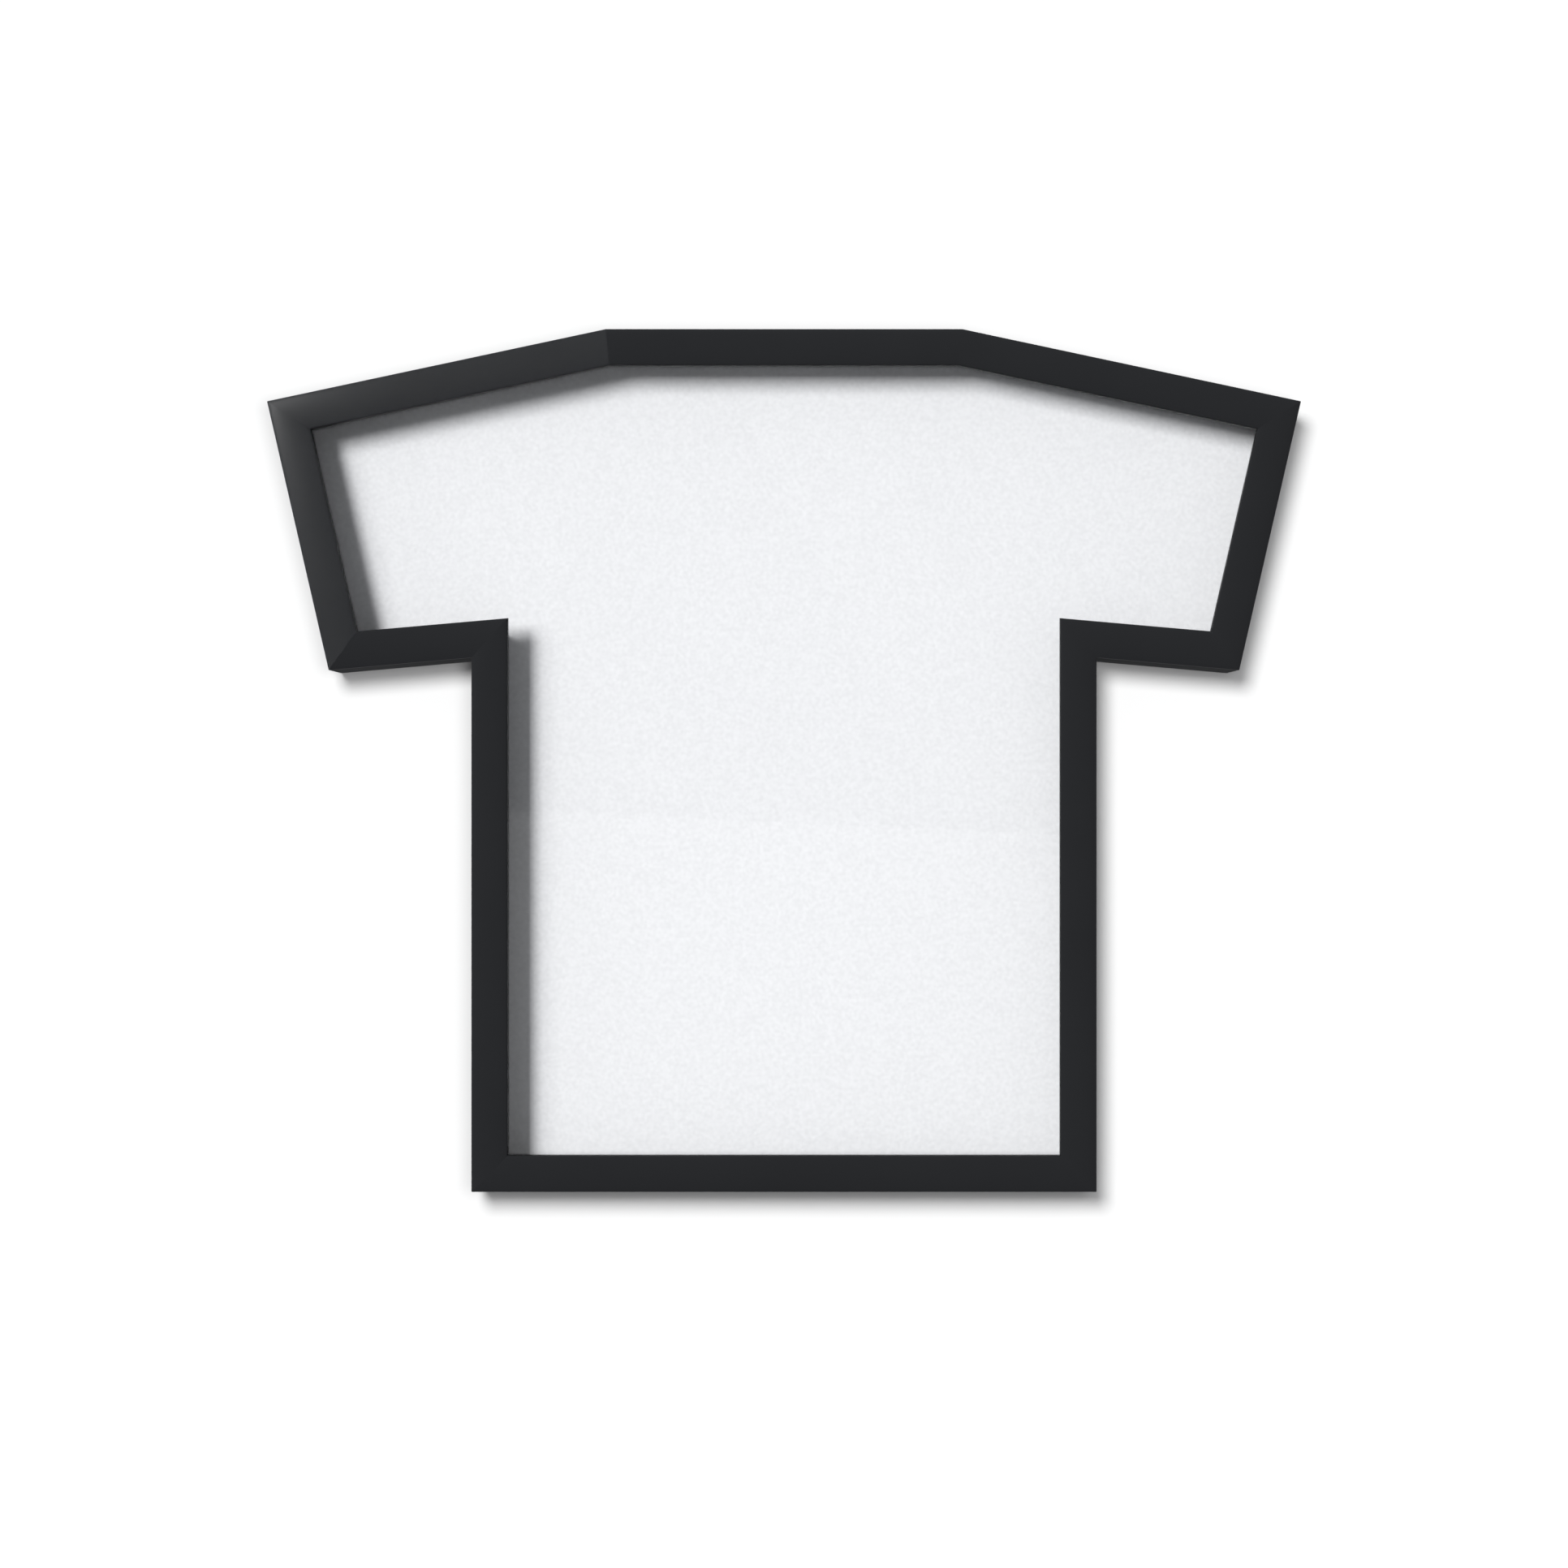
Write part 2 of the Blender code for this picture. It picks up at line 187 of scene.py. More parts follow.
def faces_along(direction, limit=0.9):
    """A test for faces that look along a direction."""
    towards = Vector(direction)
    return lambda face: face.normal.dot(towards) > limit


def rim_of(depth, sharpness=1.0):
    """A test for the sharp edges round a flat back at a depth, by their angle in radians."""

    def test(edge):
        level = all(vertex.co.y > depth - NEAR for vertex in edge.verts)
        return level and edge.calc_face_angle(0.0) > sharpness

    return test


def extrude(by):
    bpy.ops.mesh.extrude_region_move(TRANSFORM_OT_translate={"value": by})


def move(by):
    bpy.ops.transform.translate(value=by)


def grow(factor, about):
    """Scale the selection about a point."""
    bpy.ops.transform.resize(value=factor, center_override=about)


def bevel(width, segments, affect="EDGES"):
    bpy.ops.mesh.bevel(offset=width, offset_type="OFFSET", segments=segments, affect=affect)


def cut_off(point, normal):
    """Cut away what lies beyond a plane, and close the cut."""
    bpy.ops.mesh.select_all(action="SELECT")
    bpy.ops.mesh.bisect(
        plane_co=point,
        plane_no=Vector(normal).normalized(),
        use_fill=True,
        clear_outer=True,
        threshold=MERGE,
    )


def block(name, low, high):
    """A box between two corners."""
    deselect_everything()
    low, high = Vector(low), Vector(high)
    bpy.ops.mesh.primitive_cube_add(size=1.0, location=(low + high) / 2, scale=high - low)
    obj = bpy.context.object
    obj.name = name
    return apply_place(obj)


def disc(name, radius, height, steps, centre=(0.0, 0.0, 0.0)):
    """A round plate that lies in the frame's plane, its front face at the centre's depth."""
    deselect_everything()
    bpy.ops.mesh.primitive_cylinder_add(
        vertices=steps,
        radius=radius,
        depth=height,
        location=Vector(centre) + Vector((0.0, height / 2, 0.0)),
        rotation=(math.radians(90.0), 0.0, 0.0),
    )
    obj = bpy.context.object
    obj.name = name
    return apply_place(obj)


def apply_place(obj):
    """Put an object's place, turn and scale into its mesh."""
    choose(obj)
    bpy.ops.object.transform_apply(location=True, rotation=True, scale=True)
    return obj


def put(obj, centre, turn=0.0):
    """Turn a finished shape about the Y axis, set it down, and keep that in its mesh."""
    obj.matrix_world = Matrix.Translation(centre) @ Matrix.Rotation(turn, 4, "Y")
    return apply_place(obj)


def apply_modifier(obj, kind, **settings):
    choose(obj)
    modifier = obj.modifiers.new(kind.lower(), kind)
    for name, value in settings.items():
        setattr(modifier, name, value)
    bpy.ops.object.modifier_apply(modifier=modifier.name)


def combine(obj, other, operation):
    """Cut another shape out of an object, or join it on, and remove the other."""
    apply_modifier(obj, "BOOLEAN", operation=operation, solver="EXACT", object=other)
    bpy.data.objects.remove(other, do_unlink=True)


def smooth(obj, degrees=30.0):
    choose(obj)
    bpy.ops.object.shade_smooth_by_angle(angle=math.radians(degrees))


def copy_of(obj, name):
    """A copy with a mesh of its own."""
    twin = obj.copy()
    twin.data = obj.data.copy()
    twin.name = name
    bpy.context.scene.collection.objects.link(twin)
    return twin


def copy_of_node(node, name):
    """A clean copy of a CAD node's mesh: its loose triangles joined, its flat faces whole."""
    source = frame["nodes"][node]
    mesh = source.data.copy()
    obj = bpy.data.objects.new(name, mesh)
    bpy.context.scene.collection.objects.link(obj)
    mesh.materials.clear()
    with editing(obj):
        bpy.ops.mesh.select_all(action="SELECT")
        bpy.ops.mesh.remove_doubles(threshold=MERGE)
        bpy.ops.mesh.dissolve_limited(angle_limit=math.radians(0.5))
    return obj


def finish_piece(obj, material, body, slot, *nodes):
    """Give a piece its material and its body, and hide the CAD nodes that it stands for. The slot is not
    used.
    """
    if not obj.data.polygons:
        raise RuntimeError(f"{obj.name} came out without faces")
    obj.data.materials.clear()
    obj.data.materials.append(material)
    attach(obj, body)
    if nodes:
        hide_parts(*nodes)


def paint_node(node, material):
    """Give a CAD node that stays as it is a better material."""
    obj = frame["nodes"][node]
    for slot in obj.material_slots:
        slot.material = material


# ---------------------------------------------------------------- the outline, from the frame


def mitre_step(before, after):
    """From the inward normals at a corner, the step to the corner of an outline one unit in."""
    return (before + after) / (1.0 + before.dot(after))


def inward_of(along):
    return Vector((along.y, -along.x))


def outline_corners():
    """Outer corners of the rails, clockwise from the left end of the neck, as (across, up).

    The shirt board has the same outline, inset all round by as much as it lies below the top
    edge. Its corners follow one another round a point a quarter of the way down.
    """
    low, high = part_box("shirt_board")
    middle = Vector(((low.x + high.x) / 2, high.z - (high.z - low.z) / 4))
    board = frame["nodes"]["shirt_board"].data
    plan = {(round(v.co.x, 6), round(v.co.z, 6)) for v in board.vertices}

    def clockwise(corner):
        return -math.atan2(corner.y - middle.y, corner.x - middle.x)

    corners = sorted((Vector(point) for point in plan), key=clockwise)
    neck = [index for index, corner in enumerate(corners) if high.z - corner.y < NEAR]
    first = min(neck, key=lambda index: corners[index].x)
    corners = corners[first:] + corners[:first]
    inset = CAD_BOX[1].z - high.z
    turned = []
    for index, corner in enumerate(corners):
        arriving = (corner - corners[index - 1]).normalized()
        leaving = (corners[(index + 1) % len(corners)] - corner).normalized()
        turned.append(corner - inset * mitre_step(inward_of(arriving), inward_of(leaving)))
    return turned


OUTLINE = outline_corners()


def rail_line(index):
    """Start, direction, inward normal and length of a rail's outer edge."""
    start = OUTLINE[index]
    run = OUTLINE[(index + 1) % len(OUTLINE)] - start
    along = run.normalized()
    return start, along, inward_of(along), run.length


def mitre_vector(index):
    return mitre_step(rail_line(index - 1)[2], rail_line(index)[2])


def rail_turn(index):
    along = rail_line(index)[1]
    return math.atan2(-along.y, along.x)


# ---------------------------------------------------------------- materials


def new_material(name):
    """An empty material with a Principled shader, its node tree and the shader."""
    material = bpy.data.materials.new(name)
    material.use_nodes = True
    tree = material.node_tree
    return material, tree, tree.nodes["Principled BSDF"]


def add_node(tree, kind, inputs=None, **settings):
    """Add a node with its settings; an input's value is a number, a colour or a socket to link."""
    node = tree.nodes.new(kind)
    for name, value in settings.items():
        setattr(node, name, value)
    for key, value in (inputs or {}).items():
        if isinstance(value, bpy.types.NodeSocket):
            tree.links.new(value, node.inputs[key])
        else:
            node.inputs[key].default_value = value
    return node


def black_lacquer():
    """Satin nitrocellulose lacquer, sprayed on MDF: deep black, softly shining, faint orange peel."""
    material, tree, shader = new_material("satin_black_lacquer")
    colours = bpy.context.scene.jersey_colours
    place = add_node(tree, "ShaderNodeTexCoord").outputs["Object"]
    # Orange peel is 1 to 3 mm across; thickness drifts over 60 mm
    peel = add_node(tree, "ShaderNodeTexNoise", {"Vector": place, "Scale": 450.0, "Detail": 2.0})
    drift = add_node(tree, "ShaderNodeTexNoise", {"Vector": place, "Scale": 16.0, "Detail": 3.0})
    tone = add_node(
        tree,
        "ShaderNodeMix",
        {"Factor": drift.outputs["Fac"], "A": colours.lacquer_deep, "B": colours.lacquer_worn},
        data_type="RGBA",
    )
    face_rough = add_node(
        tree,
        "ShaderNodeMapRange",
        {
            "Value": drift.outputs["Fac"],
            "From Min": 0.3,
            "From Max": 0.7,
            "To Min": 0.285,
            "To Max": 0.315,
        },
    ).outputs["Result"]
    # The face is rubbed to a sheen; the sides, from 2 mm behind it, are left dull
    depth = add_node(tree, "ShaderNodeSeparateXYZ", {"Vector": place}).outputs["Y"]
    front = CAD_BOX[0].y
    behind = {"Value": depth, "From Min": front + 1.9 * MM, "From Max": front + 2.3 * MM}
    rough = add_node(tree, "ShaderNodeMapRange", {**behind, "To Min": face_rough, "To Max": 0.46})
    shine = add_node(tree, "ShaderNodeMapRange", {**behind, "To Min": 0.42, "To Max": 0.28})
    bump = add_node(
        tree, "ShaderNodeBump", {"Height": peel.outputs["Fac"], "Strength": 0.25, "Distance": 0.03 * MM}
    )
    tree.links.new(shine.outputs["Result"], shader.inputs["Specular IOR Level"])
    tree.links.new(tone.outputs["Result"], shader.inputs["Base Color"])
    tree.links.new(rough.outputs["Result"], shader.inputs["Roughness"])
    tree.links.new(bump.outputs["Normal"], shader.inputs["Normal"])
    return material


def clear_sheet():
    """Extruded polystyrene glazing: clear, flat, with the long faint ripple of a rolled sheet."""
    material, tree, shader = new_material("clear_polystyrene_sheet")
    place = add_node(tree, "ShaderNodeTexCoord").outputs["Object"]
    stretch = add_node(tree, "ShaderNodeMapping", {"Vector": place, "Scale": (1.0, 1.0, 0.35)})
    ripple = add_node(
        tree, "ShaderNodeTexNoise", {"Vector": stretch.outputs["Vector"], "Scale": 9.0, "Detail": 1.0}
    )
    bump = add_node(
        tree, "ShaderNodeBump", {"Height": ripple.outputs["Fac"], "Strength": 0.3, "Distance": 0.25 * MM}
    )
    shader.inputs["Base Color"].default_value = linear("#FCFDFD")
    shader.inputs["Roughness"].default_value = 0.02
    shader.inputs["IOR"].default_value = 1.59
    shader.inputs["Transmission Weight"].default_value = 1.0
    tree.links.new(bump.outputs["Normal"], shader.inputs["Normal"])
    return material


def white_paper_board():
    """Foam board faced with clay-coated paper: matt white with a close, cloudy paper formation."""
    material, tree, shader = new_material("white_paper_faced_board")
    colours = bpy.context.scene.jersey_colours
    place = add_node(tree, "ShaderNodeTexCoord").outputs["Object"]
    # Paper formation clouds are 2 to 4 mm across, its fibres about half a millimetre
    clouds = add_node(tree, "ShaderNodeTexNoise", {"Vector": place, "Scale": 380.0, "Detail": 4.0})
    depth = add_node(
        tree, "ShaderNodeMapRange", {"Value": clouds.outputs["Fac"], "From Min": 0.3, "From Max": 0.7}
    )
    fibres = add_node(tree, "ShaderNodeTexNoise", {"Vector": place, "Scale": 1700.0, "Detail": 2.0})
    tone = add_node(
        tree,
        "ShaderNodeMix",
        {"Factor": depth.outputs["Result"], "A": colours.board_shade, "B": colours.board_light},
        data_type="RGBA",
    )
    bump = add_node(
        tree, "ShaderNodeBump", {"Height": fibres.outputs["Fac"], "Strength": 0.2, "Distance": 0.03 * MM}
    )
    shader.inputs["Roughness"].default_value = 0.72
    shader.inputs["Specular IOR Level"].default_value = 0.3
    tree.links.new(tone.outputs["Result"], shader.inputs["Base Color"])
    tree.links.new(bump.outputs["Normal"], shader.inputs["Normal"])
    return material


def black_extrusion():
    """Black polystyrene spacer, extruded: low sheen, with fine die lines along its length."""
    material, tree, shader = new_material("black_extruded_spacer")
    place = add_node(tree, "ShaderNodeTexCoord").outputs["Object"]
    # Die lines lie about 1.2 mm apart through the depth of the strip
    lines = add_node(
        tree,
        "ShaderNodeTexWave",
        {"Vector": place, "Scale": 260.0, "Distortion": 1.5, "Detail": 1.0},
        bands_direction="Y",
    )
    bump = add_node(
        tree, "ShaderNodeBump", {"Height": lines.outputs["Fac"], "Strength": 0.3, "Distance": 0.05 * MM}
    )
    rough = add_node(
        tree,
        "ShaderNodeMapRange",
        {"Value": lines.outputs["Fac"], "To Min": 0.48, "To Max": 0.58},
    )
    shader.inputs["Base Color"].default_value = linear("#0F0F10")
    tree.links.new(rough.outputs["Result"], shader.inputs["Roughness"])
    tree.links.new(bump.outputs["Normal"], shader.inputs["Normal"])
    return material


def brown_hardboard():
    """Tempered hardboard: pressed brown wood fibre, flecked, with the press screen's print."""
    material, tree, shader = new_material("brown_hardboard")
    place = add_node(tree, "ShaderNodeTexCoord").outputs["Object"]
    # Fibre flecks are about a millimetre across, and the shade of the mat drifts over 17 mm
    flecks = add_node(tree, "ShaderNodeTexNoise", {"Vector": place, "Scale": 900.0, "Detail": 5.0})
    shades = add_node(tree, "ShaderNodeTexNoise", {"Vector": place, "Scale": 60.0, "Detail": 6.0})
    # The press screen has a wire every 1.6 mm; it is drawn at 4.8 mm so that it shows
    across = add_node(
        tree,
        "ShaderNodeTexWave",
        {"Vector": place, "Scale": 65.0, "Distortion": 0.6},
        bands_direction="X",
    )
    down = add_node(
        tree,
        "ShaderNodeTexWave",
        {"Vector": place, "Scale": 65.0, "Distortion": 0.6},
        bands_direction="Z",
    )
    screen = add_node(
        tree,
        "ShaderNodeMath",
        {0: across.outputs["Fac"], 1: down.outputs["Fac"]},
        operation="MAXIMUM",
    )
    blend = add_node(
        tree,
        "ShaderNodeMix",
        {"Factor": 0.3, "A": flecks.outputs["Fac"], "B": shades.outputs["Fac"]},
    )
    tone = add_node(tree, "ShaderNodeValToRGB", {"Fac": blend.outputs["Result"]})
    tone.color_ramp.elements[0].position = 0.36
    tone.color_ramp.elements[0].color = linear("#5A3A22")
    tone.color_ramp.elements[1].position = 0.64
    tone.color_ramp.elements[1].color = linear("#A0764A")
    bump = add_node(
        tree, "ShaderNodeBump", {"Height": screen.outputs["Value"], "Strength": 0.6, "Distance": 0.12 * MM}
    )
    shader.inputs["Roughness"].default_value = 0.68
    tree.links.new(tone.outputs["Color"], shader.inputs["Base Color"])
    tree.links.new(bump.outputs["Normal"], shader.inputs["Normal"])
    return material


def zinc_plate():
    """Bright zinc plating on stamped steel: pale blue-grey, with a fine grain and soft patches."""
    material, tree, shader = new_material("zinc_plated_steel")
    place = add_node(tree, "ShaderNodeTexCoord").outputs["Object"]
    # Rolling grain is about 1.4 mm long and a sixth as wide; the patches are 5 to 6 mm across
    stretch = add_node(tree, "ShaderNodeMapping", {"Vector": place, "Scale": (1.0, 1.0, 6.0)})
    grain = add_node(
        tree, "ShaderNodeTexNoise", {"Vector": stretch.outputs["Vector"], "Scale": 700.0, "Detail": 3.0}
    )
    patches = add_node(tree, "ShaderNodeTexNoise", {"Vector": place, "Scale": 180.0, "Detail": 3.0})
    tone = add_node(tree, "ShaderNodeValToRGB", {"Fac": patches.outputs["Fac"]})
    tone.color_ramp.elements[0].position = 0.35
    tone.color_ramp.elements[0].color = linear("#B2B7BC")
    tone.color_ramp.elements[1].position = 0.65
    tone.color_ramp.elements[1].color = linear("#C4C8CC")
    rough = add_node(
        tree,
        "ShaderNodeMapRange",
        {
            "Value": patches.outputs["Fac"],
            "From Min": 0.3,
            "From Max": 0.7,
            "To Min": 0.32,
            "To Max": 0.4,
        },
    )
    bump = add_node(
        tree, "ShaderNodeBump", {"Height": grain.outputs["Fac"], "Strength": 0.15, "Distance": 0.02 * MM}
    )
    shader.inputs["Metallic"].default_value = 1.0
    tree.links.new(tone.outputs["Color"], shader.inputs["Base Color"])
    tree.links.new(rough.outputs["Result"], shader.inputs["Roughness"])
    tree.links.new(bump.outputs["Normal"], shader.inputs["Normal"])
    return material


def black_coated_steel():
    """Stamped steel with black electrocoat: satin and slightly grainy."""
    material, tree, shader = new_material("black_coated_steel")
    place = add_node(tree, "ShaderNodeTexCoord").outputs["Object"]
    # The coating's grain is about 0.7 mm across
    grain = add_node(tree, "ShaderNodeTexNoise", {"Vector": place, "Scale": 1500.0, "Detail": 3.0})
    rough = add_node(
        tree,
        "ShaderNodeMapRange",
        {"Value": grain.outputs["Fac"], "To Min": 0.36, "To Max": 0.52},
    )
    bump = add_node(
        tree, "ShaderNodeBump", {"Height": grain.outputs["Fac"], "Strength": 0.3, "Distance": 0.02 * MM}
    )
    shader.inputs["Base Color"].default_value = linear("#1D1E20")
    tree.links.new(rough.outputs["Result"], shader.inputs["Roughness"])
    tree.links.new(bump.outputs["Normal"], shader.inputs["Normal"])
    return material


def dark_rubber():
    """Moulded rubber bumper: dark grey, dull, with the powdery bloom that new rubber has."""
    material, tree, shader = new_material("dark_bumper_rubber")
    place = add_node(tree, "ShaderNodeTexCoord").outputs["Object"]
    # The bloom lies in specks about 2 mm across
    bloom = add_node(tree, "ShaderNodeTexNoise", {"Vector": place, "Scale": 500.0, "Detail": 4.0})
    tone = add_node(
        tree,
        "ShaderNodeMix",
        {"Factor": bloom.outputs["Fac"], "A": linear("#242527"), "B": linear("#343538")},
        data_type="RGBA",
    )
    bump = add_node(
        tree, "ShaderNodeBump", {"Height": bloom.outputs["Fac"], "Strength": 0.25, "Distance": 0.03 * MM}
    )
    shader.inputs["Roughness"].default_value = 0.62
    tree.links.new(tone.outputs["Result"], shader.inputs["Base Color"])
    tree.links.new(bump.outputs["Normal"], shader.inputs["Normal"])
    return material


# ---------------------------------------------------------------- settings


class JerseyColours(bpy.types.PropertyGroup):
    """Colours of the finishes that show from the front."""

    lacquer_deep: FloatVectorProperty(
        name="Lacquer",
        description="Black of the lacquer where it is thickest",
        subtype="COLOR",
        size=4,
        min=0.0,
        max=1.0,
        default=linear("#1B1C1E"),
    )
    lacquer_worn: FloatVectorProperty(
        name="Thin lacquer",
        description="Black of the lacquer where it is thinnest",
        subtype="COLOR",
        size=4,
        min=0.0,
        max=1.0,
        default=linear("#1F2022"),
    )
    board_light: FloatVectorProperty(
        name="Board",
        description="White of the paper face",
        subtype="COLOR",
        size=4,
        min=0.0,
        max=1.0,
        default=linear("#F4F4F6"),
    )
    board_shade: FloatVectorProperty(
        name="Board clouds",
        description="Slightly darker white of the paper's formation",
        subtype="COLOR",
        size=4,
        min=0.0,
        max=1.0,
        default=linear("#EAEAEC"),
    )


class JerseyRails(bpy.types.PropertyGroup):
    """Section of the rails."""

    lip: FloatProperty(
        name="Lip",
        description="Thickness of the lip over the clear panel",
        default=5.0 * MM,
        unit="LENGTH",
    )
    wall: FloatProperty(
        name="Wall",
        description="Thickness of the wall behind the lip",
        default=13.0 * MM,
        unit="LENGTH",
    )
    crown: FloatProperty(
        name="Crown",
        description="Rise of the rounded front face above its edges",
        default=1.2 * MM,
        unit="LENGTH",
    )
    outer_edge: FloatProperty(
        name="Outer edge",
        description="Radius of the front outer edge",
        default=0.7 * MM,
        unit="LENGTH",
    )
    inner_edge: FloatProperty(
        name="Inner edge",
        description="Radius of the front inner edge",
        default=1.2 * MM,
        unit="LENGTH",
    )
    corner: FloatProperty(
        name="Corner",
        description="Radius that the outer corners are sanded to",
        default=1.0 * MM,
        unit="LENGTH",
    )
    steps: IntProperty(
        name="Crown steps",
        description="Faces across the rounded front",
        default=14,
        min=2,
        max=64,
    )


class JerseyStage(bpy.types.PropertyGroup):
    """Camera and studio light."""

    distance: FloatProperty(
        name="Camera distance",
        description="From the camera to the front of the frame",
        default=1.369,
        unit="LENGTH",
    )
    height: FloatProperty(
        name="Camera height",
        description="Above the bottom edge of the frame",
        default=0.2884,
        unit="LENGTH",
    )
    lens: FloatProperty(
        name="Focal length",
        description="Focal length of the camera, in millimetres",
        default=44.52,
        unit="CAMERA",
    )
    key: FloatProperty(
        name="Softbox light",
        description="Light on the board from the softbox at the left",
        default=0.78,
    )
    wing: FloatProperty(
        name="Wing light",
        description="Light on the board from the weaker panel beside the softbox",
        default=0.18,
    )
    wall: FloatProperty(
        name="Wall light",
        description="Light on the wall where nothing shades it",
        default=0.98,
    )
    corner_glow: FloatProperty(
        name="Corner glow power",
        description="Power of the small lamp that glances off the upper left corner",
        default=2.5,
        unit="POWER",
    )
    reflections: FloatProperty(
        name="Reflections",
        description="Brightness of what the clear panel reflects",
        default=0.42,
    )
    room: FloatProperty(
        name="Room light",
        description="Brightness of the light from all round",
        default=0.27,
    )


# ---------------------------------------------------------------- pieces


class JERSEY_OT_rails(bpy.types.Operator):
    """Model the ten mitred rails"""

    bl_idname = "jersey.rails"
    bl_label = "Rails"

    def execute(self, context):
        material = black_lacquer()
        for index, name in enumerate(RAILS):
            rail = rail_bar(index, f"rail_{name}", context.scene.jersey_rails)
            start = rail_line(index)[0]
            put(rail, (start.x, 0.0, start.y), rail_turn(index))
            for corner in (CORNERS[index], CORNERS[(index + 1) % len(CORNERS)]):
                combine(rail, nail_slot(corner), "DIFFERENCE")
            smooth(rail)
            finish_piece(rail, material, FIXED_BODY, "lacquered_wood", f"{name}_rail")
        return {"FINISHED"}


def rail_bar(index, name, sizes):
    """One rail along X from its outer corner, -Z inwards, mitred at both ends."""
    low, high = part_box(f"{RAILS[index]}_rail")
    width = rail_width()
    front, rear = low.y, high.y
    length = rail_line(index)[3]
    spare = 2.0 * width
    bar = block(name, (-spare, front + sizes.lip, -sizes.wall), (length + spare, rear, 0.0))
    with editing(bar):
        shape_section(bar, sizes, front, rear, width)
        mitre_ends(index, length, sizes.corner)
    return bar


def rail_width():
    """Width of the rails, from the top rail's box."""
    low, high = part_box("top_rail")
    return high.z - low.z


def shape_section(bar, sizes, front, rear, width):
    """Draw the lip out of the bar, crown its face and ease its edges."""
    edge_depth = front + sizes.crown
    pick(bar, "FACE", faces_along((0, -1, 0)))
    extrude((0.0, sizes.crown - sizes.lip, 0.0))
    pick(
        bar,
        "FACE",
        lambda face: face.normal.z < -0.9 and face.calc_center_median().y < front + sizes.lip,
    )
    extrude((0.0, 0.0, sizes.wall - width))
    bpy.ops.mesh.select_all(action="SELECT")
    bpy.ops.mesh.dissolve_limited(angle_limit=math.radians(1.0))

    # A ridge along the middle of the face, rounded off into the crown. The round takes
    # all but sqrt(2) - 1 of the height of the ridge that it replaces.
    flat = 2.0 * sizes.inner_edge
    half = width / 2
    ridge = sizes.crown * half / (flat + (math.sqrt(2.0) - 1.0) * (half - flat))
    pick(bar, "FACE", faces_along((0, -1, 0)))
    bpy.ops.mesh.bisect(plane_co=(0.0, 0.0, -half), plane_no=(0.0, 0.0, 1.0), threshold=MERGE)
    pick(bar, "EDGE", runs_at(edge_depth, -half))
    move((0.0, -ridge, 0.0))
    bevel(half - flat, sizes.steps)

    for up, radius in ((0.0, sizes.outer_edge), (-width, sizes.inner_edge)):
        pick(bar, "EDGE", runs_at(edge_depth, up))
        bevel(radius, 4)
    pick(bar, "EDGE", runs_at(rear, 0.0))
    bevel(sizes.outer_edge / 2, 2)


def runs_at(depth, up):
    """A test for the edges that run along X at a depth and a height."""

    def test(edge):
        return all(abs(v.co.y - depth) < NEAR and abs(v.co.z - up) < NEAR for v in edge.verts)

    return test


def mitre_ends(index, length, corner):
    """Cut both ends to their mitres and round the tips where the outline turns outwards."""
    along = rail_line(index)[1]
    ends = (
        (0.0, -1.0, mitre_vector(index)),
        (length, 1.0, mitre_vector((index + 1) % len(OUTLINE))),
    )
    for at, side, mitre in ends:
        slope = mitre.dot(along)
        cut_off((at, 0.0, 0.0), (side, 0.0, side * slope))
        if side * slope < 0.0:
            lean = math.atan(abs(slope))
            centre = Vector((at + slope * corner, 0.0, -corner))
            for share in (0.5, 1.0):
                angle = lean * share
                normal = Vector((side * math.sin(angle), 0.0, math.cos(angle)))
                cut_off(centre + normal * corner, normal)


def nail_slot(corner):
    """The slot that one corner nail is driven into, open at the back."""
    play = 0.1 * MM
    past_back = 2.0 * MM
    slot = copy_of_node(f"corner_nail_{corner}", "slot")
    with editing(slot):
        bpy.ops.mesh.select_all(action="SELECT")
        bpy.ops.transform.shrink_fatten(value=-play)
        pick(slot, "FACE", faces_along((0, 1, 0)))
        move((0.0, past_back, 0.0))
    return slot


class JERSEY_OT_corner_nails(bpy.types.Operator):
    """Finish the nails that hold the mitres"""

    bl_idname = "jersey.corner_nails"
    bl_label = "Corner nails"

    def execute(self, context):
        material = zinc_plate()
        for corner in CORNERS:
            paint_node(f"corner_nail_{corner}", material)
        return {"FINISHED"}


class JERSEY_OT_front_panel(bpy.types.Operator):
    """Finish the clear front panel"""

    bl_idname = "jersey.front_panel"
    bl_label = "Front panel"

    def execute(self, context):
        paint_node("front_panel", clear_sheet())
        # The lamps reach the board through the clear sheet
        frame["nodes"]["front_panel"].visible_shadow = False
        return {"FINISHED"}


class JERSEY_OT_spacers(bpy.types.Operator):
    """Finish the spacer strips round the display space"""

    bl_idname = "jersey.spacers"
    bl_label = "Spacers"

    def execute(self, context):
        material = black_extrusion()
        for name in RAILS:
            paint_node(f"{name}_spacer", material)
        return {"FINISHED"}


class JERSEY_OT_boards(bpy.types.Operator):
    """Finish the white shirt board and the backing board"""

    bl_idname = "jersey.boards"
    bl_label = "Boards"

    def execute(self, context):
        paint_node("shirt_board", white_paper_board())
        paint_node("backing_board", brown_hardboard())
        return {"FINISHED"}


class JERSEY_OT_turn_buttons(bpy.types.Operator):
    """Model the eight turn buttons"""

    bl_idname = "jersey.turn_buttons"
    bl_label = "Turn buttons"

    def execute(self, context):
        material = black_coated_steel()
        joints = {joint["child"]: Vector(joint["pos_m"]) for joint in frame["joints"]}
        pattern = turn_button(joints["turn_button_hem_left"])
        for name in BUTTONS:
            node = f"turn_button_{name}"
            pivot = joints[node]
            button = put(copy_of(pattern, f"button_{name}"), pivot, button_turn(node, pivot))
            finish_piece(button, material, node, "black_steel", node)
        bpy.data.objects.remove(pattern, do_unlink=True)
        return {"FINISHED"}


